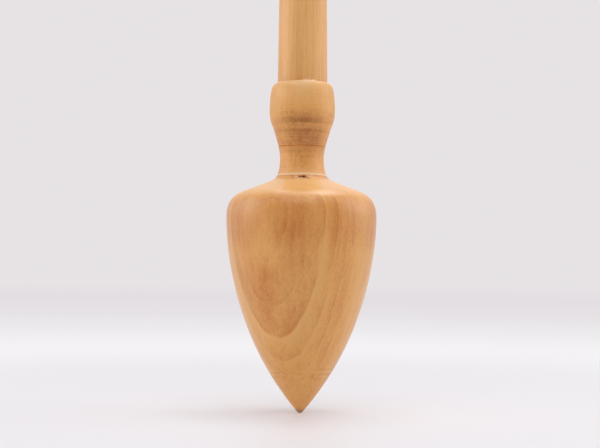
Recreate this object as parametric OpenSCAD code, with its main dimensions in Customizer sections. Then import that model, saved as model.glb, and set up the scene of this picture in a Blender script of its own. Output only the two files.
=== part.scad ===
// A turned wooden hand spindle for spinning yarn. It turns on the point of its whorl,
// with the shaft pointing up. The origin is the point, and +Z runs up the shaft.

/* [Whorl] */
// Widest diameter of the whorl
whorl_d = 40; // [34:0.5:50]
// Height of the widest place above the point
belly_z = 51.8; // [42:0.1:70]
// Height from the widest place up to the seat for the collar
shoulder_h = 11; // [9.5:0.1:16]
// Width of the rounded shoulder, inwards from the widest place
shoulder_w = 7.3; // [5:0.1:8]
// Angle of the whorl's sloping top above the level, inside the rounded shoulder
top_angle = 21.5; // [10:1:30]
// Height of the hollow sweep between the top slope and the seat
sweep_h = 1.2; // [0.5:0.1:2]
// Width of the hollow sweep between the top slope and the seat
sweep_w = 1.4; // [0.8:0.1:2]
// Radius of the small ball that the whorl turns on
point_r = 1; // [0.3:0.1:1.5]
// Angle of the whorl's side above the level, where it leaves that ball
point_angle = 49; // [42:1:58]

/* [Collar] */
// Diameter of the collar's foot and of its seat on the whorl
foot_d = 13.5; // [12:0.1:15]
// Diameter of the neck, where the collar is thinnest
neck_d = 11.7; // [10.4:0.1:12]
// Height of the neck above the foot
neck_h = 4.8; // [3:0.1:7]
// Diameter at the scored line
score_d = 12.5; // [12:0.1:13.4]
// Height of the scored line above the neck
score_h = 2.9; // [2:0.1:5]
// Width of the scored line
score_w = 0.3; // [0.15:0.05:0.6]
// Depth of the scored line
score_depth = 0.25; // [0.1:0.05:0.4]
// Diameter at the top of the cone, where the bead begins
cone_d = 15.3; // [14.4:0.1:16.2]
// Height of the cone above the scored line
cone_h = 5; // [3:0.1:8]
// Widest diameter of the bead
bead_d = 17.5; // [16.8:0.1:21]
// Height from the top of the cone to the bead's widest place
bead_rise = 5.4; // [4:0.1:8]
// Height from the bead's widest place to where its rim begins to round
bead_side = 4.9; // [3:0.1:8]
// How far the bead draws in over that height
bead_draw = 0.45; // [0.2:0.05:0.8]
// Height of the rounded rim
rim_h = 1.9; // [1:0.1:3]
// Width of the flat left on the rim, round the shaft
rim_land = 0.15; // [0.1:0.05:0.4]

/* [Shaft] */
// Diameter of the shaft in the collar
shaft_d = 13.3; // [12:0.1:14.2]
// Diameter of the shaft where its upper end begins to round
tip_d = 5.5; // [4:0.1:10]
// Length of the shaft above the collar
shaft_l = 202; // [120:1:260]
// Length of the rounded upper end
tip_h = 3.5; // [2:0.1:6]

/* [Joinery] */
// Diameter of the tenon that runs down through the collar into the whorl
tenon_d = 6.5; // [5:0.1:8]
// Depth of the tenon in the whorl
tenon_h = 22; // [12:0.5:32]
// Chamfer on the end of the tenon
tenon_chamfer = 0.8; // [0.4:0.1:1.2]
// Depth of the socket in the bead that takes the shaft's full diameter
socket_h = 6; // [3:0.1:9]
// Room for glue all round the tenon and the socketed shaft
glue_gap = 0.05; // [0.02:0.01:0.15]
// Room for glue under the tenon
glue_well = 1; // [0.5:0.1:2]
// Point angle of the drill that bored the whorl
drill_angle = 118; // [90:1:140]

/* [Quality] */
// Straight steps along each curve of a turned outline
curve_steps = 16; // [8:1:24]

/* [Hidden] */
$fn = 96;

whorl_h = belly_z + shoulder_h;
score_z = neck_h + score_h;
cone_z = score_z + cone_h;
bead_z = cone_z + bead_rise;
rim_z = bead_z + bead_side;
collar_h = rim_z + rim_h;
shaft_z = whorl_h + collar_h;
shaft_top = shaft_z + shaft_l;

hole_r = tenon_d / 2 + glue_gap;
socket_r = shaft_d / 2 + glue_gap;
tenon_z = whorl_h - tenon_h;
seat_z = shaft_z - socket_h;
// How far a cutting shape runs past the face that it opens
past = 1;

// Directions of an outline, where an angle of 0 points outwards
up_angle = 90;
in_angle = 180;
// How each turned curve bends: the direction in which it leaves or reaches an end, and how
// firmly it holds to each of its two ends, as a share of the distance between them
side_pull = [0.515, 0.083];
shoulder_pull = [0.59, 0.3];
sweep_angle = 132;
sweep_pull = [0.45, 0.45];
foot_angle = 122;
foot_pull = [0.25, 0.39];
flare_angle = 66;
flare_pull = [0.5, 0.05];
bead_angle = 67;
bead_low_pull = [0.46, 0.38];
draw_angle = 101;
bead_side_pull = [0.1, 0.43];
rim_angle = 160;
rim_pull = [0.3, 0.5];
shaft_angle = 90.55;
tip_angle = 91.6;
shaft_pull = [0.33, 0.33];
tip_pull = [0.55, 0.55];
point_steps = 5;

// One unit of length in a direction
function toward(angle) = [cos(angle), sin(angle)];

// A smooth curve that leaves p in one direction and reaches q in another
function curve(p, leave, q, reach, pull) =
    let (span = norm(q - p))
    let (a = p + pull[0] * span * toward(leave))
    let (b = q - pull[1] * span * toward(reach))
    [
        for (i = [0 : curve_steps])
            let (t = i / curve_steps, u = 1 - t)
            u * u * u * p + 3 * u * u * t * a + 3 * u * t * t * b + t * t * t * q
    ];

// A solid turned about the shaft's line from the outline of its right half
module turned(outline) {
    rotate_extrude() polygon(outline);
}

// The weight of the spindle: a pointed teardrop with a blind hole for the tenon
module whorl() {
    point_end = point_r * [sin(point_angle), 1 - cos(point_angle)];
    belly = [whorl_d / 2, belly_z];
    seat = [foot_d / 2, whorl_h];
    slope_in = seat + [sweep_w, -sweep_h];
    slope_w = belly.x - shoulder_w - slope_in.x;
    slope_out = slope_in + slope_w * [1, -tan(top_angle)];
    outline = concat(
        [
            for (i = [0 : point_steps - 1])
                let (a = point_angle * i / point_steps)
                point_r * [sin(a), 1 - cos(a)]
        ],
        curve(point_end, point_angle, belly, up_angle, side_pull),
        curve(belly, up_angle, slope_out, in_angle - top_angle, shoulder_pull),
        curve(slope_in, in_angle - top_angle, seat, sweep_angle, sweep_pull),
        [[0, whorl_h]]
    );
    drilled_z = tenon_z - glue_well;
    drill_point_h = hole_r / tan(drill_angle / 2);
    color("#c98d52")
    difference() {
        turned(outline);
        translate([0, 0, drilled_z])
            cylinder(h = whorl_h - drilled_z + past, r = hole_r);
        translate([0, 0, drilled_z - drill_point_h])
            cylinder(h = drill_point_h, r1 = 0, r2 = hole_r);
    }
}

// The flared neck and the bead, bored through for the tenon and socketed for the shaft
module collar() {
    neck = [neck_d / 2, neck_h];
    score = [score_d / 2, score_z];
    cone_top = [cone_d / 2, cone_z];
    bead = [bead_d / 2, bead_z];
    rim_foot = [bead_d / 2 - bead_draw, rim_z];
    rim_top = [socket_r + rim_land, collar_h];
    outline = concat(
        [[0, 0]],
        curve([foot_d / 2, 0], foot_angle, neck, up_angle, foot_pull),
        curve(neck, up_angle, score, flare_angle, flare_pull),
        [score + [-score_depth, score_w / 2], score + [0, score_w]],
        curve(cone_top, bead_angle, bead, up_angle, bead_low_pull),
        curve(bead, up_angle, rim_foot, draw_angle, bead_side_pull),
        curve(rim_foot, draw_angle, rim_top, rim_angle, rim_pull),
        [[0, collar_h]]
    );
    color("#b67d48")
    translate([0, 0, whorl_h])
    difference() {
        turned(outline);
        translate([0, 0, -past])
            cylinder(h = collar_h + 2 * past, r = hole_r);
        translate([0, 0, collar_h - socket_h])
            cylinder(h = socket_h + past, r = socket_r);
    }
}

// The tapering shaft, stepped down to its tenon inside the collar
module shaft() {
    tip = [tip_d / 2, shaft_top - tip_h];
    outline = concat(
        [
            [0, tenon_z],
            [tenon_d / 2 - tenon_chamfer, tenon_z],
            [tenon_d / 2, tenon_z + tenon_chamfer],
            [tenon_d / 2, seat_z],
            [shaft_d / 2, seat_z]
        ],
        curve([shaft_d / 2, shaft_z], shaft_angle, tip, tip_angle, shaft_pull),
        curve(tip, tip_angle, [0, shaft_top], in_angle, tip_pull)
    );
    color("#d8a06a")
    turned(outline);
}

whorl();
collar();
shaft();
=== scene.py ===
import math

import bpy
from mathutils import Matrix, Vector, noise


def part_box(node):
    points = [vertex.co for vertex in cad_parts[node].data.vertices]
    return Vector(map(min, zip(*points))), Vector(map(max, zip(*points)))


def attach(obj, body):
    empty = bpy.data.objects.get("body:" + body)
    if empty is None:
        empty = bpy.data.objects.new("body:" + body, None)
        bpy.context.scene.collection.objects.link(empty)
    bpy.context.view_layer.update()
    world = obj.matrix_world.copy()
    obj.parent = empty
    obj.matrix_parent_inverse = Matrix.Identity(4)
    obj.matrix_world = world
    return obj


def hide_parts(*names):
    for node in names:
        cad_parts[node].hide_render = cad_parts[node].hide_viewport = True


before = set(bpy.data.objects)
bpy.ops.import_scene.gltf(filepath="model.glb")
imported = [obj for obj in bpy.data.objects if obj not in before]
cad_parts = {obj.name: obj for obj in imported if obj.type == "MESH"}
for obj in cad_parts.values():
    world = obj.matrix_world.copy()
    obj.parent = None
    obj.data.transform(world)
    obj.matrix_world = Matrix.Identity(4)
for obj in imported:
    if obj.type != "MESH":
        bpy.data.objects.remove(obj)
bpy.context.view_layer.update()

# --- Sizes in millimetres, from the frame where a node's box gives them ---

MM = 0.001
WHORL_BOX, COLLAR_BOX, SHAFT_BOX = [
    [Vector(corner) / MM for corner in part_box(node)] for node in ("whorl", "collar", "shaft")
]
WHORL_R = WHORL_BOX[1].x
WHORL_H = WHORL_BOX[1].z
BEAD_R = COLLAR_BOX[1].x
COLLAR_TOP = COLLAR_BOX[1].z
SHAFT_R = SHAFT_BOX[1].x
SHAFT_TOP = SHAFT_BOX[1].z
TENON_END = SHAFT_BOX[0].z

BELLY_Z = 51.8
SHOULDER_W = 7.3
TOP_ANGLE = 21.5
SWEEP = Vector((1.4, -1.2))
POINT_R = 1.0
POINT_ANGLE = 49
SEAT_R = 6.75

NECK = Vector((5.85, WHORL_H + 4.8))
SCORE = Vector((6.25, WHORL_H + 7.7))
SCORE_W = 0.3
SCORE_DEPTH = 0.25
CONE_TOP = Vector((7.65, WHORL_H + 12.7))
BEAD_Z = WHORL_H + 18.1
BEAD_DRAW = 0.45
RIM_H = 1.9
RIM_LAND = 0.15

TIP_R = 2.75
TIP_H = 3.5
TENON_R = 3.25
TENON_CHAMFER = 0.8
SOCKET_H = 6
GLUE_GAP = 0.05
GLUE_WELL = 1
DRILL_ANGLE = 118

# Directions of an outline in degrees, where 0 points outwards
UP = 90
INWARDS = 180
SWEEP_ANGLE = 132
FOOT_ANGLE = 122
FLARE_ANGLE = 66
BEAD_ANGLE = 67
DRAW_ANGLE = 101
RIM_ANGLE = 160
SHAFT_ANGLE = 90.55
TIP_ANGLE = 91.6

# How far a curve holds to the directions at its start and end, as shares of its span
SIDE_PULL = (0.515, 0.083)
SHOULDER_PULL = (0.59, 0.3)
SWEEP_PULL = (0.45, 0.45)
FOOT_PULL = (0.25, 0.39)
FLARE_PULL = (0.5, 0.05)
BEAD_LOW_PULL = (0.46, 0.38)
BEAD_SIDE_PULL = (0.1, 0.43)
RIM_PULL = (0.3, 0.5)
SHAFT_PULL = (0.33, 0.33)
TIP_PULL = (0.55, 0.55)

# Where whorl and collar meet, both edges are eased by sanding, which makes the seam that shows
SEAM = 0.18
EASE_STEPS = 3
BALL_STEPS = 8
SEGMENTS = 320
# Edges sharper than this stay crisp, and points closer than this many metres are one
SHARP = math.radians(28)
MERGE = 1e-7

# The front's angle round the shaft's line. Marks are placed by millimetres of arc to its right
FRONT = math.radians(-90)


# --- Turning: an outline of (radius, height) points, spun about the shaft's line ---

def toward(angle):
    """One unit of length in a direction, where 0 points outwards and 90 points up."""
    return Vector((math.cos(math.radians(angle)), math.sin(math.radians(angle))))


def curve(p, leave, q, reach, pull, steps):
    """A smooth curve that leaves p in one direction and reaches q in another."""
    span = (q - p).length
    a = p + pull[0] * span * toward(leave)
    b = q - pull[1] * span * toward(reach)
    points = []
    for i in range(steps + 1):
        t = i / steps
        u = 1 - t
        points.append(u**3 * p + 3 * u * u * t * a + 3 * u * t * t * b + t**3 * q)
    return points


def line(p, q, steps):
    """Points along a straight stretch, without its two ends."""
    return [p.lerp(q, i / steps) for i in range(1, steps)]


def eased(before, corner, after):
    """A corner rounded over a short length of both its sides."""
    p = corner + (before - corner).normalized() * SEAM
    q = corner + (after - corner).normalized() * SEAM
    points = []
    for i in range(EASE_STEPS + 1):
        t = i / EASE_STEPS
        points.append((1 - t) ** 2 * p + 2 * t * (1 - t) * corner + t * t * q)
    return points


def turned(name, outline):
    """A solid of revolution: one point is drawn along the outline, and the line is spun."""
    bpy.ops.object.select_all(action="DESELECT")
    bpy.ops.mesh.primitive_plane_add(size=MM)
    piece = bpy.context.object
    piece.name = name
    piece.data.name = name
    bpy.ops.object.mode_set(mode="EDIT")
    bpy.ops.mesh.select_mode(type="VERT")
    bpy.ops.mesh.merge(type="CENTER")
    bpy.ops.transform.translate(value=(outline[0].x * MM, 0, outline[0].y * MM))
    for here, there in zip(outline, outline[1:]):
        step = (there - here) * MM
        bpy.ops.mesh.extrude_region_move(TRANSFORM_OT_translate={"value": (step.x, 0, step.y)})
    bpy.ops.mesh.select_all(action="SELECT")
    bpy.ops.mesh.spin(steps=SEGMENTS, angle=math.tau, center=(0, 0, 0), axis=(0, 0, 1))
    bpy.ops.mesh.select_all(action="SELECT")
    bpy.ops.mesh.remove_doubles(threshold=MERGE)
    bpy.ops.mesh.normals_make_consistent(inside=False)
    bpy.ops.object.mode_set(mode="OBJECT")
    bpy.ops.object.shade_smooth_by_angle(angle=SHARP)
    return piece


def whorl_outline():
    """From the tip round the shoulder to the seat, and down the hole for the tenon."""
    point_end = POINT_R * Vector(
        (math.sin(math.radians(POINT_ANGLE)), 1 - math.cos(math.radians(POINT_ANGLE)))
    )
    belly = Vector((WHORL_R, BELLY_Z))
    seat = Vector((SEAT_R, WHORL_H))
    slope_in = seat + SWEEP
    slope_w = belly.x - SHOULDER_W - slope_in.x
    slope_out = slope_in + slope_w * Vector((1, -math.tan(math.radians(TOP_ANGLE))))
    hole_r = TENON_R + GLUE_GAP
    drilled_z = TENON_END - GLUE_WELL
    drill_h = hole_r / math.tan(math.radians(DRILL_ANGLE / 2))
    sweep = curve(slope_in, INWARDS - TOP_ANGLE, seat, SWEEP_ANGLE, SWEEP_PULL, steps=14)
    ball = [
        POINT_R * Vector((math.sin(a), 1 - math.cos(a)))
        for a in (math.radians(POINT_ANGLE) * i / BALL_STEPS for i in range(BALL_STEPS))
    ]
    return (
        ball
        + curve(point_end, POINT_ANGLE, belly, UP, SIDE_PULL, steps=90)
        + curve(belly, UP, slope_out, INWARDS - TOP_ANGLE, SHOULDER_PULL, steps=40)[1:]
        + line(slope_out, slope_in, steps=12)
        + sweep[:-1]
        + eased(sweep[-2], seat, Vector((hole_r, WHORL_H)))
        + [
            Vector((hole_r, WHORL_H)),
            Vector((hole_r, drilled_z)),
            Vector((0, drilled_z - drill_h)),
        ]
    )


def collar_outline():
    """From the foot up the neck, cone and bead, over the rim, and down inside."""
    foot = Vector((SEAT_R, WHORL_H))
    bead = Vector((BEAD_R, BEAD_Z))
    rim_foot = Vector((BEAD_R - BEAD_DRAW, COLLAR_TOP - RIM_H))
    socket_r = SHAFT_R + GLUE_GAP
    hole_r = TENON_R + GLUE_GAP
    rim_top = Vector((socket_r + RIM_LAND, COLLAR_TOP))
    flank = curve(foot, FOOT_ANGLE, NECK, UP, FOOT_PULL, steps=22)
    score_in = SCORE + Vector((-SCORE_DEPTH, SCORE_W / 2))
    score_top = SCORE + Vector((0, SCORE_W))
    rim = curve(rim_foot, DRAW_ANGLE, rim_top, RIM_ANGLE, RIM_PULL, steps=18)
    inside = [
        Vector((socket_r, COLLAR_TOP)),
        Vector((socket_r, COLLAR_TOP - SOCKET_H)),
        Vector((hole_r, COLLAR_TOP - SOCKET_H)),
        Vector((hole_r, WHORL_H)),
    ]
    return (
        eased(inside[-1], foot, flank[1])
        + flank[1:]
        + curve(NECK, UP, SCORE, FLARE_ANGLE, FLARE_PULL, steps=16)[1:]
        + [score_in, score_top]
        + line(score_top, CONE_TOP, steps=20)
        + curve(CONE_TOP, BEAD_ANGLE, bead, UP, BEAD_LOW_PULL, steps=22)
        + curve(bead, UP, rim_foot, DRAW_ANGLE, BEAD_SIDE_PULL, steps=18)[1:]
        + rim[1:]
        + inside
        + eased(inside[-1], foot, flank[1])[:1]
    )


def shaft_outline():
    """From the tenon's end up its side, out to the socket's wall, and up to the top."""
    seat_z = COLLAR_TOP - SOCKET_H
    root = Vector((SHAFT_R, COLLAR_TOP))
    tip = Vector((TIP_R, SHAFT_TOP - TIP_H))
    return (
        [
            Vector((0, TENON_END)),
            Vector((TENON_R - TENON_CHAMFER, TENON_END)),
            Vector((TENON_R, TENON_END + TENON_CHAMFER)),
            Vector((TENON_R, seat_z)),
            Vector((SHAFT_R, seat_z)),
        ]
        + curve(root, SHAFT_ANGLE, tip, TIP_ANGLE, SHAFT_PULL, steps=60)
        + curve(tip, TIP_ANGLE, Vector((0, SHAFT_TOP)), INWARDS, TIP_PULL, steps=16)[1:]
    )


# --- Marks of the tools, carved into the turned pieces ---

def soft_step(low, high, value):
    """0 below low, 1 above high, and smooth between."""
    t = min(max((value - low) / (high - low), 0), 1)
    return t * t * (3 - 2 * t)


def bump_at(value, middle, half, soft):
    """1 within half of the middle, fading to 0 over a soft width outside it."""
    return 1 - soft_step(half, half + soft, abs(value - middle))


def round_place(point):
    """A point as arc length right of the front, radius and height, in millimetres."""
    radius = math.hypot(point.x, point.y) / MM
    angle = math.atan2(point.y, point.x) - FRONT
    angle = (angle + math.pi) % math.tau - math.pi
    return angle * radius, radius, point.z / MM


def refine(piece, chosen, cuts):
    """Cuts the faces whose centre is chosen into smaller ones, for carving."""
    bpy.ops.object.select_all(action="DESELECT")
    piece.select_set(True)
    bpy.context.view_layer.objects.active = piece
    bpy.ops.object.mode_set(mode="EDIT")
    bpy.ops.mesh.select_all(action="DESELECT")
    bpy.ops.object.mode_set(mode="OBJECT")
    for face in piece.data.polygons:
        face.select = chosen(*round_place(face.center))
    bpy.ops.object.mode_set(mode="EDIT")
    bpy.ops.mesh.select_mode(type="FACE")
    bpy.ops.mesh.subdivide(number_cuts=cuts)
    bpy.ops.object.mode_set(mode="OBJECT")


def carve(piece, mark):
    """Moves each point out and up by what the mark says, and keeps its two stains.

    The mark takes an arc length, a radius and a height, and returns how far the point
    moves outwards and upwards, how torn and how raw the wood is there.
    """
    torn = piece.data.attributes.new("torn", "FLOAT", "POINT")
    raw = piece.data.attributes.new("raw", "FLOAT", "POINT")
    for i, vertex in enumerate(piece.data.vertices):
        arc, radius, height = round_place(vertex.co)
        out, up, torn.data[i].value, raw.data[i].value = mark(arc, radius, height)
        if out or up:
            grown = (radius + out) / radius
            vertex.co = Vector((vertex.co.x * grown, vertex.co.y * grown, (height + up) * MM))


# The part of the whorl that the chip and its splinters reach
CHIP_AT = 0.3
CHIP_REACH = 3.2
CHIP_LOWEST = 58
CHIP_OUTER_R = 10
CHIP_INNER_R = SEAT_R + 0.05
CHIP_DEPTH = 0.6
CREASE_DEPTH = 0.08
SPLINTER_RISE = 0.16
FIBRE_RISE = 0.06
# Outwards and upwards, a length of one square to the slope there
OFF_SLOPE = (0.57, 0.82)

# Each patch has its middle, half width and soft edge along the arc, the same going out from
# the collar's foot, and a strength
SPLINTERS = [
    ((-1.35, 0.3, 0.35), (0.5, 0.12, 0.2), 1),
    ((-0.95, 0.25, 0.3), (1.5, 0.16, 0.25), 1),
    ((0.7, 0.6, 0.4), (0.86, 0.04, 0.12), 0.5),
]
FIBRES = [((0.3, 1.4, 1.0), (1.65, 0.2, 0.35), 1)]
RESIN = [((-1.9, 0.6, 1.2), (0.4, 0.3, 0.6), 1), ((0.2, 0.8, 0.8), (0.1, 0.1, 0.3), 1)]


def strongest(patches, arc, across):
    """How strongly a place is marked by the strongest patch there."""
    return max(
        strength * bump_at(arc, *along) * bump_at(across, *outwards)
        for along, outwards, strength in patches
    )


def by_the_chip(arc, radius, height):
    """Whether the chip's marks reach a place. The collar covers what lies further in."""
    in_reach = abs(arc - CHIP_AT) < CHIP_REACH
    return in_reach and CHIP_INNER_R < radius < CHIP_OUTER_R and height > CHIP_LOWEST


def torn_seat(arc, radius, height):
    """Where the tool tore fibres out of the whorl, just outside the collar's foot."""
    if not by_the_chip(arc, radius, height):
        return 0, 0, 0, 0
    across = radius - SEAT_R
    ragged = noise.noise(Vector((arc * 3.2, across * 2.0, 3.1)))
    fray = noise.noise(Vector((arc * 2.2, across * 5.0, 9.4)))
    slot_at = 0.4 + 0.55 * max(arc - 0.85, 0) + 0.08 * ragged
    half = 0.17 * bump_at(arc, 0.55, 0.25, 0.4) + 0.07 * bump_at(arc, 0.4, 1.1, 0.4)
    half = max(half + 0.04 * ragged, 0)
    slot = bump_at(arc, 0.5, 1.3, 0.35) * bump_at(across, slot_at, half, 0.11)
    crease_at = 1.2 + 0.12 * math.cos(1.6 * (arc - 0.4))
    crease = bump_at(arc, 0.5, 0.9, 0.6) * bump_at(across, crease_at, 0.04, 0.14)
    splinters = strongest(SPLINTERS, arc, across)
    fibres = strongest(FIBRES, arc, across) * (0.5 + 0.5 * fray)
    raised = SPLINTER_RISE * splinters + FIBRE_RISE * fibres
    rise = raised - CHIP_DEPTH * slot - CREASE_DEPTH * crease
    # The torn mask also darkens the slot and the crease in the wood's colour, as painted shade
    torn = max(slot, 0.3 * crease, 0.07 * strongest(RESIN, arc, across))
    raw = max(splinters, 0.45 * fibres) * (1 - slot)
    return OFF_SLOPE[0] * rise, OFF_SLOPE[1] * rise, torn, raw


# The check fades in and out over these heights above the collar's foot
CHECK_START = (0.2, 0.8)
CHECK_END = (4.6, 7.2)
CHECK_AT = 0.3
CHECK_WANDER = 0.1
CHECK_DEPTH = 0.02
# The burr's middle, half width and soft edge along the arc
BURR = (1.8, 1.4, 0.8)
BURR_RISE = 0.42
BURR_INNER_R = SHAFT_R + GLUE_GAP + 0.01


def collar_marks(arc, radius, height):
    """A fine drying check up the neck, and a burr of fibres on the rim."""
    up = height - WHORL_H
    line_at = CHECK_AT + CHECK_WANDER * noise.noise(Vector((0, 0, height * 0.7)))
    along = soft_step(*CHECK_START, up) * (1 - soft_step(*CHECK_END, up))
    check = along * bump_at(arc, line_at, 0.03, 0.1) if radius > TENON_R + 1 else 0
    burr = 0
    if height > COLLAR_TOP - 1 and radius > BURR_INNER_R:
        ragged = max(0.35 + noise.noise(Vector((arc * 7.5, 0, 1.7))), 0)
        edge = soft_step(COLLAR_TOP - 0.75, COLLAR_TOP - 0.1, height)
        burr = edge * bump_at(arc, *BURR) * (0.15 + 0.85 * ragged)
    return -CHECK_DEPTH * check, BURR_RISE * burr, 0.04 * check, burr


# Loose fibres on the rim: arc, height over the rim, lean in degrees, length and radius
SLIVERS = [
    (0.7, 0.02, -38, 0.9, 0.04),
    (1.2, 0.1, -20, 0.8, 0.05),
    (1.8, 0.12, 20, 0.8, 0.05),
    (2.2, 0.05, 58, 1.5, 0.05),
    (2.7, -0.02, 40, 0.8, 0.04),
    (3.1, -0.05, 74, 1.0, 0.04),
]
SLIVER_R = SHAFT_R + 0.22
SLIVER_ARC_R = SHAFT_R + 0.25
SLIVER_TILT = math.radians(-4)
SLIVER_TAPER = 0.2
SLIVER_BEND = 0.18


def sliver(arc, above, lean, length, radius):
    """One loose wood fibre: a thin tapered rod with a slight bend."""
    angle = FRONT + arc / SLIVER_ARC_R
    at = Vector((math.cos(angle), math.sin(angle), 0)) * SLIVER_R * MM
    at.z = (COLLAR_TOP + above) * MM
    bpy.ops.object.select_all(action="DESELECT")
    bpy.ops.mesh.primitive_cone_add(
        vertices=6, radius1=radius * MM, radius2=SLIVER_TAPER * radius * MM, depth=length * MM
    )
    fibre = bpy.context.object
    bpy.ops.object.mode_set(mode="EDIT")
    bpy.ops.mesh.subdivide(number_cuts=4)
    bpy.ops.object.mode_set(mode="OBJECT")
    for vertex in fibre.data.vertices:
        along = vertex.co.z / (length * MM) + 0.5
        vertex.co.x += SLIVER_BEND * length * MM * math.sin(math.pi * along)
        vertex.co.z += 0.5 * length * MM
    fibre.rotation_euler = (SLIVER_TILT, math.radians(lean), 0)
    fibre.location = at
    bpy.ops.object.transform_apply(location=True, rotation=True, scale=True)
    for name, level in (("torn", 0), ("raw", 1)):
        stain = fibre.data.attributes.new(name, "FLOAT", "POINT")
        for item in stain.data:
            item.value = level
    bpy.ops.object.shade_smooth()
    return fibre


def join(piece, extras):
    """Makes the extras part of the piece's own mesh."""
    bpy.ops.object.select_all(action="DESELECT")
    for extra in extras:
        extra.select_set(True)
    piece.select_set(True)
    bpy.context.view_layer.objects.active = piece
    bpy.ops.object.join()


# --- Materials ---

def linear(code):
    """An sRGB hex colour as linear red, green, blue and alpha."""
    parts = [int(code[i : i + 2], 16) / 255 for i in (1, 3, 5)]
    return [c / 12.92 if c <= 0.04045 else ((c + 0.055) / 1.055) ** 2.4 for c in parts] + [1]


def grey(level):
    """A ramp's colour for a plain value from 0 to 1."""
    return [level, level, level, 1]


def add(tree, kind, inputs=(), stops=(), out=0, **settings):
    """Adds a node and returns one output: inputs gives sockets a value or a link, and
    stops fills a ramp."""
    made = tree.nodes.new("ShaderNode" + kind)
    for name, value in settings.items():
        setattr(made, name, value)
    for socket, value in dict(inputs).items():
        if isinstance(value, bpy.types.NodeSocket):
            tree.links.new(value, made.inputs[socket])
        else:
            made.inputs[socket].default_value = value
    if stops:
        ramp = made.color_ramp
        while len(ramp.elements) < len(stops):
            ramp.elements.new(0.5)
        for element, (place, colour) in zip(ramp.elements, stops):
            element.position = place
            element.color = colour
    return made.outputs[out] if made.outputs else None


def blank(name):
    """An empty material, its node tree, and places on the piece in millimetres."""
    material = bpy.data.materials.new(name)
    material.use_nodes = True
    tree = material.node_tree
    tree.nodes.clear()
    at = add(tree, "TexCoord", out="Object")
    mm = add(tree, "VectorMath", {0: at, "Scale": 1 / MM}, operation="SCALE")
    return material, tree, mm


def per_mm(size):
    """The scale of a pattern whose grains have a size in millimetres along X, Y and Z."""
    return [1 / s for s in size]


# Millimetres from the tree's middle to the spindle, so far that the layers are nearly flat
PITH = 90
# Millimetres across the swirls in the layers, and across the patches where they show more
SWIRL = (9, 14, 40)
RING_PATCH = (7, 7, 16)


def lay_rings(tree, mm, face, first_ring, ring_gap, wander, strength):
    """The growth layers of slow-grown wood, lying nearly flat and looking towards face.

    They show in some places more than in others. Returns the wandering place, the depth
    through the layers, and what the season adds to the tone.
    """
    laid = add(
        tree,
        "VectorRotate",
        {"Vector": mm, "Angle": math.radians(-face)},
        rotation_type="Z_AXIS",
    )
    drift = add(tree, "VectorMath", {0: laid, 1: per_mm(SWIRL)}, operation="MULTIPLY")
    swirl = add(tree, "TexNoise", {"Vector": drift, "Scale": 1, "Detail": 4}, out="Color")
    shift = add(tree, "VectorMath", {0: swirl, 1: (0.5, 0.5, 0.5)}, operation="SUBTRACT")
    moved = add(
        tree,
        "VectorMath",
        {0: shift, 1: (wander, wander, 0), 2: laid},
        operation="MULTIPLY_ADD",
    )
    centred = add(tree, "VectorMath", {0: moved, 1: (PITH, 0, 0)}, operation="ADD")
    level = add(tree, "VectorMath", {0: centred, 1: (1, 1, 0)}, operation="MULTIPLY")
    reach = add(tree, "VectorMath", {0: level}, out="Value", operation="LENGTH")
    depth = add(tree, "Math", {0: reach, 1: PITH}, operation="SUBTRACT")
    from_first = add(tree, "Math", {0: depth, 1: first_ring}, operation="SUBTRACT")
    years = add(tree, "Math", {0: from_first, 1: ring_gap}, operation="DIVIDE")
    season = add(tree, "Math", {0: years}, operation="FRACT")
    tone = add(
        tree,
        "ValToRGB",
        {"Fac": season},
        stops=[
            (0, grey(0.1)),
            (0.06, grey(0.36)),
            (0.4, grey(0.5)),
            (0.8, grey(0.62)),
            (0.96, grey(0.8)),
            (1, grey(0.5)),
        ],
    )
    patch_at = add(tree, "VectorMath", {0: laid, 1: per_mm(RING_PATCH)}, operation="MULTIPLY")
    patch = add(tree, "TexNoise", {"Vector": patch_at, "Scale": 1, "Detail": 1})
    shows = add(
        tree,
        "MapRange",
        {
            "Value": patch,
            "From Min": 0.4,
            "From Max": 0.65,
            "To Min": 0.1 * strength,
            "To Max": strength,
        },
    )
    off = add(tree, "Math", {0: tone, 1: 0.5}, operation="SUBTRACT")
    added = add(tree, "Math", {0: off, 1: shows}, operation="MULTIPLY")
    return moved, depth, added


def lay_grains(tree, total, grains):
    """Adds noise to a tone. Each grain has its place, its size in millimetres along X, Y
    and Z, its detail and its strength. Returns the new tone and the last grain's own."""
    for place, size, detail, strength in grains:
        scaled = add(tree, "VectorMath", {0: place, 1: per_mm(size)}, operation="MULTIPLY")
        grain = add(tree, "TexNoise", {"Vector": scaled, "Scale": 1, "Detail": detail})
        off = add(tree, "Math", {0: grain, 1: 0.5}, operation="SUBTRACT")
        total = add(tree, "Math", {0: off, 1: strength, 2: total}, operation="MULTIPLY_ADD")
    return total, grain


def lay_bands(tree, total, along, low, high, strength, stops):
    """Adds to a tone by how far along from low to high a place lies. A stop of 0.5
    changes nothing."""
    share = add(tree, "MapRange", {"Value": along, "From Min": low, "From Max": high})
    band = add(tree, "ValToRGB", {"Fac": share}, stops=[(at, grey(g)) for at, g in stops])
    off = add(tree, "Math", {0: band, 1: 0.5}, operation="SUBTRACT")
    return add(tree, "Math", {0: off, 1: strength, 2: total}, operation="MULTIPLY_ADD")


def lay_stains(tree, colour, stains):
    """Lays each stain over the colour where its mask is 1."""
    for mask, stain in stains:
        # A Mix node's sockets 6 and 7 and its output 2 are the colours
        colour = add(
            tree, "Mix", {0: mask, 6: colour, 7: linear(stain)}, out=2, data_type="RGBA"
        )
    return colour


# Millimetres from the wood's face to the bottom of a pore
PORE_DEPTH = 0.02
PORE_STRENGTH = 0.3


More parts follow.
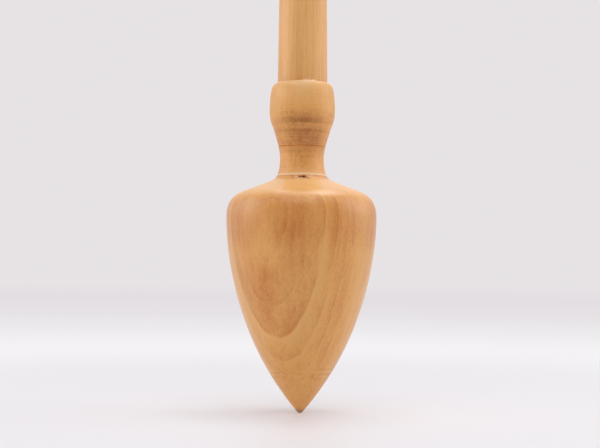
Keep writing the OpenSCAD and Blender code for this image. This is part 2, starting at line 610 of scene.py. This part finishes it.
def finish(tree, colour, relief, roughness, coat, coat_roughness):
    """The surface of the wood: its colour, its pores as bump, and its gloss."""
    pores = {"Height": relief, "Strength": PORE_STRENGTH, "Distance": PORE_DEPTH * MM}
    bump = add(tree, "Bump", pores)
    shader = add(
        tree,
        "BsdfPrincipled",
        {
            "Base Color": colour,
            "Roughness": roughness,
            "IOR": 1.5,
            "Coat Weight": coat,
            "Coat Roughness": coat_roughness,
            "Normal": bump,
        },
    )
    add(tree, "OutputMaterial", {"Surface": shader})


# Millimetres across the patches where the whorl's figure is clearer
FIGURE_PATCH = (8, 8, 14)


def whorl_figure(tree, mm):
    """The whorl's tone before its fine grain: layers with a pale U round a darker heart, clearer
    lower down, with painted shade in a band from above the belly up to the shoulder and,
    slightly, towards the tip. Returns it with the height and the wandering place.
    """
    moved, depth, season = lay_rings(
        tree, mm, face=65, first_ring=-13.3, ring_gap=2.85, wander=2.2, strength=0.3
    )
    height = add(tree, "SeparateXYZ", {0: mm}, out="Z")
    tone = add(tree, "Math", {0: season, 1: 0.5}, operation="ADD")
    heart = [
        (0.0, 0.42),
        (0.02, 0.46),
        (0.048, 0.7),
        (0.07, 0.76),
        (0.12, 0.68),
        (0.215, 0.63),
        (0.23, 0.68),
        (0.245, 0.3),
        (0.265, 0.47),
        (0.32, 0.54),
        (0.34, 0.45),
        (0.37, 0.5),
        (1.0, 0.52),
    ]
    clear = add(
        tree,
        "MapRange",
        {"Value": height, "From Min": 52, "From Max": 34, "To Min": 0.2, "To Max": 0.75},
    )
    patch_at = add(tree, "VectorMath", {0: mm, 1: per_mm(FIGURE_PATCH)}, operation="MULTIPLY")
    patch = add(tree, "TexNoise", {"Vector": patch_at, "Scale": 1, "Detail": 1})
    patchy = add(
        tree,
        "MapRange",
        {"Value": patch, "From Min": 0.35, "From Max": 0.6, "To Min": 0.5, "To Max": 1.15},
    )
    clear = add(tree, "Math", {0: clear, 1: patchy}, operation="MULTIPLY")
    tone = lay_bands(tree, tone, depth, low=-20.5, high=9.5, strength=clear, stops=heart)
    # Painted shade: a darker band from above the belly up to the shoulder
    shade_below_shoulder = [(0.0, 0.5), (0.35, 0.64), (0.85, 0.64), (1.0, 0.5)]
    tone = lay_bands(tree, tone, height, low=42, high=58, strength=1, stops=shade_below_shoulder)
    # Painted shade: slightly darker over the lowest 22 mm, where the whorl turns down to its tip
    shade_towards_tip = [(0.0, 0.53), (0.45, 0.55), (1.0, 0.5)]
    tone = lay_bands(tree, tone, height, low=0, high=22, strength=1, stops=shade_towards_tip)
    return tone, height, moved


# Millimetres above the tip over which the knot lines' belts are laid out
KNOT_REACH = 20


def knot_lines(tree, mm, height, tone):
    """Fine wavy lines across the grain in two belts above the tip, as beside a small knot."""
    knots = [(mm, (4.5, 4.5, 0.5), 3, 0.75), (mm, (1.1, 1.1, 0.9), 2, 0.4)]
    knotty, _ = lay_grains(tree, tone, knots)
    from_tip = add(tree, "MapRange", {"Value": height, "From Max": KNOT_REACH})
    belts = [(0.22, 0), (0.33, 0.6), (0.45, 0.2), (0.5, 0.8), (0.56, 0.7), (0.66, 0)]
    near = add(tree, "ValToRGB", {"Fac": from_tip}, stops=[(at, grey(g)) for at, g in belts])
    # A Mix node's sockets 2 and 3 are the plain values
    return add(tree, "Mix", {0: near, 2: tone, 3: knotty}, data_type="FLOAT")


def whorl_stains(tree, height):
    """The stains of the end grain, the seam, the darker point and the chip, with a painted
    highlight over the shoulder and painted shade in the chip's slot and crease, and the masks of
    the chip's two places that the oil didn't reach."""
    # Paler end grain on the top slope, carried down over the shoulder as a painted highlight
    end_grain_and_highlight = add(
        tree, "MapRange", {"Value": height, "From Min": 56.8, "From Max": 60.5, "To Max": 0.75}
    )
    sweep = add(
        tree, "MapRange", {"Value": height, "From Min": 61.3, "From Max": 62.3, "To Max": 0.7}
    )
    seam = add(
        tree,
        "MapRange",
        {"Value": height, "From Min": WHORL_H - 0.16, "From Max": WHORL_H - 0.08, "To Max": 0.55},
    )
    # Darker towards the point over its last millimetre and a half
    dark_point = add(
        tree, "MapRange", {"Value": height, "From Min": 1.5, "From Max": 0.1, "To Max": 0.8}
    )
    torn = add(tree, "Attribute", out="Fac", attribute_name="torn")
    raw = add(tree, "Attribute", out="Fac", attribute_name="raw")
    # Reddish brown: the torn wood's and the resin's own tint, and painted shade in the slot and
    # the crease
    torn_tint_and_shade = add(tree, "Math", {0: torn, 1: 0.5}, operation="POWER")
    # Painted shade: near black where the tear is deepest, inside the pit
    pit_shade = add(tree, "Math", {0: torn, 1: 2}, operation="POWER")
    stains = [
        (end_grain_and_highlight, "#f9c27c"),
        (sweep, "#e3953c"),
        (seam, "#b0642a"),
        (dark_point, "#7a4f2e"),
        (raw, "#ffd89c"),
        (torn_tint_and_shade, "#a23c12"),
        (pit_shade, "#300a05"),
    ]
    return stains, torn_tint_and_shade, raw


def whorl_wood():
    # Pear-like fruitwood, turned, sanded fine and oiled: a warm figure under a satin sheen
    material, tree, mm = blank("Oiled fruitwood")
    tone, height, moved = whorl_figure(tree, mm)
    grains = [
        (moved, (6, 9, 26), 2, 0.46),
        (moved, (0.7, 1.6, 16), 3, 0.25),
        (mm, (0.3, 0.3, 2.2), 2, 0.2),
        (mm, (0.45, 0.45, 0.45), 1, 0.22),
    ]
    tone, speck = lay_grains(tree, tone, grains)
    tone = knot_lines(tree, mm, height, tone)
    colour = add(
        tree,
        "ValToRGB",
        {"Fac": tone},
        stops=[
            (0.1, linear("#f1bc78")),
            (0.5, linear("#ebaa57")),
            (0.8, linear("#d07c28")),
            (1.0, linear("#b0621a")),
        ],
    )
    stains, torn_tint_and_shade, raw = whorl_stains(tree, height)
    colour = lay_stains(tree, colour, stains)
    bare = add(tree, "Math", {0: torn_tint_and_shade, 1: raw}, operation="MAXIMUM")
    oiled = add(tree, "Math", {0: bare, 1: -0.5, 2: 0.5}, operation="MULTIPLY_ADD")
    finish(tree, colour, speck, roughness=0.4, coat=oiled, coat_roughness=0.33)
    return material


def collar_figure(tree, mm):
    """The collar's tone before its fine grain: layers, and bands up its height that are partly
    end grain and partly painted light and shade, lighter at the neck's foot and on the bead's top
    and darker on the cone and under the bead, stronger in the middle than at the sides. Returns
    it with the height and the wandering place.
    """
    moved, _, season = lay_rings(
        tree, mm, face=80, first_ring=-4, ring_gap=2.2, wander=2.2, strength=0.12
    )
    height = add(tree, "SeparateXYZ", {0: mm}, out="Z")
    aside = add(tree, "SeparateXYZ", {0: mm}, out="X")
    tone = add(tree, "Math", {0: season, 1: 0.5}, operation="ADD")
    # End grain with painted light and shade: lighter at the foot and on the bead's top, darker on
    # the cone and under the bead
    bands_and_shade = [
        (0.0, 0.38),
        (0.1, 0.48),
        (0.19, 0.54),
        (0.206, 0.58),
        (0.22, 0.52),
        (0.25, 0.62),
        (0.31, 0.68),
        (0.34, 0.76),
        (0.45, 0.8),
        (0.474, 0.9),
        (0.49, 0.72),
        (0.535, 0.66),
        (0.56, 0.88),
        (0.585, 0.86),
        (0.62, 0.68),
        (0.7, 0.5),
        (0.85, 0.34),
        (1.0, 0.22),
    ]
    # The bands, painted shade among them, are strongest near the middle, where X is small, and
    # weaker at the sides
    off_side = add(tree, "Math", {0: aside}, operation="ABSOLUTE")
    strong = add(
        tree,
        "MapRange",
        {"Value": off_side, "From Min": 1.5, "From Max": 7.5, "To Min": 1.05, "To Max": 0.25},
    )
    tone = lay_bands(
        tree, tone, height, low=WHORL_H, high=COLLAR_TOP, strength=strong, stops=bands_and_shade
    )
    return tone, height, moved


def collar_wood():
    # The same wood left off the tool: nearly matte, browner where end grain shows, with painted
    # light and shade in bands up its height
    material, tree, mm = blank("Turned fruitwood")
    tone, height, moved = collar_figure(tree, mm)
    grains = [
        (moved, (5, 7, 9), 3, 0.35),
        (mm, (6, 6, 0.5), 2, 0.2),
        (moved, (0.8, 1.6, 9), 3, 0.2),
        (mm, (0.3, 0.3, 1.6), 2, 0.25),
        (mm, (0.45, 0.45, 0.45), 1, 0.22),
    ]
    tone, speck = lay_grains(tree, tone, grains)
    colour = add(
        tree,
        "ValToRGB",
        {"Fac": tone},
        stops=[
            (0.1, linear("#f8c482")),
            (0.5, linear("#edaa58")),
            (0.9, linear("#ad681c")),
        ],
    )
    torn = add(tree, "Attribute", out="Fac", attribute_name="torn")
    raw = add(tree, "Attribute", out="Fac", attribute_name="raw")
    # Painted highlight: a pale band round the rim's edge, where it catches the light from above
    rim = add(
        tree,
        "MapRange",
        {
            "Value": height,
            "From Min": COLLAR_TOP - 0.45,
            "From Max": COLLAR_TOP - 0.15,
            "To Max": 0.7,
        },
    )
    # Painted highlight: a pale band on the foot's eased edge, where it flares out into the light
    # from above
    foot = add(
        tree,
        "MapRange",
        {"Value": height, "From Min": WHORL_H + 0.7, "From Max": WHORL_H + 0.3, "To Max": 0.85},
    )
    stains = [
        (rim, "#fbdcae"),
        (foot, "#ffdcae"),
        (raw, "#f8dcb4"),
        (torn, "#6b3d1e"),
    ]
    colour = lay_stains(tree, colour, stains)
    finish(tree, colour, speck, roughness=0.55, coat=0.5, coat_roughness=0.38)
    return material


def shaft_wood():
    # Straight-grained fruitwood, sanded along the grain and left nearly dry
    material, tree, mm = blank("Sanded fruitwood")
    moved, _, season = lay_rings(
        tree, mm, face=70, first_ring=-2.3, ring_gap=1.9, wander=1.4, strength=0.2
    )
    tone = add(tree, "Math", {0: season, 1: 0.5}, operation="ADD")
    height = add(tree, "SeparateXYZ", {0: mm}, out="Z")
    # Painted shade: darker where the shaft rises out of the rim, fading over nine millimetres
    foot = [(0.0, 0.66), (0.4, 0.6), (1.0, 0.5)]
    tone = lay_bands(
        tree, tone, height, low=COLLAR_TOP, high=COLLAR_TOP + 9, strength=1, stops=foot
    )
    grains = [
        (moved, (4, 5, 60), 2, 0.35),
        (moved, (0.6, 1.2, 40), 4, 0.6),
        (mm, (0.3, 0.3, 5), 2, 0.45),
        (mm, (0.45, 0.45, 0.45), 1, 0.22),
    ]
    tone, speck = lay_grains(tree, tone, grains)
    colour = add(
        tree,
        "ValToRGB",
        {"Fac": tone},
        stops=[
            (0.1, linear("#f9c687")),
            (0.5, linear("#f3b46a")),
            (0.9, linear("#d3924e")),
        ],
    )
    finish(tree, colour, speck, roughness=0.55, coat=0.5, coat_roughness=0.38)
    return material


# --- Camera, from the photograph's framing ---

# The focal length in pixels of a frame that is FRAME_W pixels wide
LENS_PX = 1350
FRAME_W = 600
SENSOR = 36
CAMERA_PLACE = Vector((-0.37, -359.8, 36.7)) * MM
CAMERA_PITCH = math.radians(2.137)
CAMERA_ROLL = math.radians(0.454)


def set_camera():
    bpy.ops.object.camera_add(location=CAMERA_PLACE)
    camera = bpy.context.object
    level = Matrix.Rotation(math.radians(90) + CAMERA_PITCH, 4, "X")
    camera.rotation_euler = (level @ Matrix.Rotation(CAMERA_ROLL, 4, "Z")).to_euler()
    camera.data.sensor_width = SENSOR
    camera.data.lens = SENSOR * LENS_PX / FRAME_W
    camera.data.clip_start = 0.01
    bpy.context.scene.camera = camera


# --- Lights and stage ---

BACKDROP = "#e7e3e5"
CARD = "#e6e4e8"
ALL_ROUND = 0.17
TABLE_M = 40
# Millimetres from the spindle: where the card starts to fade, where it is gone, and where
# the backdrop's own tone is reached
FADE_START = 80
FADE_END = 300
FALLOFF_END = 4000


def softbox(name, place, aim, size, power, casts=True):
    """An area lamp turned towards a place. Places and sizes are in metres. A lamp that stands
    for light from all round casts no shadow."""
    bpy.ops.object.light_add(type="AREA", location=place)
    lamp = bpy.context.object
    lamp.name = name
    lamp.rotation_euler = (Vector(aim) - Vector(place)).to_track_quat("-Z", "Y").to_euler()
    lamp.data.shape = "RECTANGLE"
    lamp.data.size = size[0]
    lamp.data.size_y = size[1]
    lamp.data.energy = power
    lamp.data.use_shadow = casts


def set_lights():
    middle = (0, 0, 0.07)
    softbox("left_softbox", (-0.7, 0.0, 0.35), middle, (0.6, 0.6), 1.9, casts=False)
    softbox("right_softbox", (0.7, 0.05, 0.38), middle, (0.6, 0.6), 1.85, casts=False)
    softbox("overhead_panel", (0.04, -0.35, 0.85), (0.04, -0.35, 0), (1.2, 0.8), 2.5)
    softbox("top_lamp", (0.07, 0.18, 0.9), middle, (0.6, 0.35), 1.95)
    softbox("front_panel", (0, -0.6, 0.7), middle, (0.9, 0.3), 1.05)
    softbox("back_panel", (0.1, 0.35, 0.85), middle, (0.6, 0.4), 1.8, casts=False)


def seen(tree):
    """1 where the camera looks, straight, in a reflection or through glass."""
    rays = add(tree, "LightPath", out="Is Camera Ray")
    for way in ("Is Glossy Ray", "Is Transmission Ray"):
        also = add(tree, "LightPath", out=way)
        rays = add(tree, "Math", {0: rays, 1: also}, operation="MAXIMUM")
    return rays


def set_air():
    """Dim all-round light, and a pale backdrop wherever the floor ends."""
    world = bpy.data.worlds.new("studio_air")
    bpy.context.scene.world = world
    world.use_nodes = True
    tree = world.node_tree
    tree.nodes.clear()
    dim = add(tree, "Background", {"Color": linear("#ffffff"), "Strength": ALL_ROUND})
    pale = add(tree, "Background", {"Color": linear(BACKDROP), "Strength": 1})
    both = add(tree, "MixShader", {0: seen(tree), 1: dim, 2: pale})
    add(tree, "OutputWorld", {"Surface": both})


def table_top():
    """White card near the spindle, blending further off into painted light whose tone falls off
    towards the backdrop's.
    """
    bpy.ops.object.select_all(action="DESELECT")
    bpy.ops.mesh.primitive_plane_add(size=TABLE_M)
    floor = bpy.context.object
    floor.name = "table_top"
    material, tree, mm = blank("White card")
    away = add(tree, "VectorMath", {0: mm}, out="Value", operation="LENGTH")
    far = add(
        tree,
        "MapRange",
        {"Value": away, "From Min": FADE_START, "From Max": FADE_END},
        interpolation_type="SMOOTHSTEP",
    )
    share = add(tree, "MapRange", {"Value": away, "From Max": FALLOFF_END})
    # Painted light: the far table glows for the camera, lightest about a third of a metre out and
    # darkest about a metre and a half out, then in the backdrop's tone
    painted_falloff = add(
        tree,
        "ValToRGB",
        {"Fac": share},
        stops=[
            (0.03, linear("#efedf0")),
            (0.055, linear("#f3f1f4")),
            (0.085, linear("#f4f2f4")),
            (0.13, linear("#eeebee")),
            (0.22, linear("#e6e2e5")),
            (0.4, linear("#e3dee2")),
            (1.0, linear(BACKDROP)),
        ],
    )
    card = add(tree, "BsdfPrincipled", {"Base Color": linear(CARD), "Roughness": 0.5})
    pale = add(tree, "Emission", {"Color": painted_falloff, "Strength": 1})
    shown = add(tree, "Math", {0: far, 1: seen(tree)}, operation="MULTIPLY")
    both = add(tree, "MixShader", {0: shown, 1: card, 2: pale})
    add(tree, "OutputMaterial", {"Surface": both})
    floor.data.materials.append(material)


# --- The spindle ---

def dress(piece, node, material):
    """Gives a piece its wood and puts it in the place of its CAD node."""
    piece.data.materials.append(material)
    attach(piece, "root")
    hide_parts(node)


def whorl():
    piece = turned("turned_whorl", whorl_outline())
    refine(piece, by_the_chip, cuts=1)
    carve(piece, torn_seat)
    return piece


def collar():
    piece = turned("turned_collar", collar_outline())
    carve(piece, collar_marks)
    join(piece, [sliver(*fibre) for fibre in SLIVERS])
    return piece


set_camera()
dress(whorl(), "whorl", whorl_wood())
dress(collar(), "collar", collar_wood())
dress(turned("turned_shaft", shaft_outline()), "shaft", shaft_wood())
table_top()
set_air()
set_lights()
bpy.context.scene.view_settings.view_transform = "Standard"
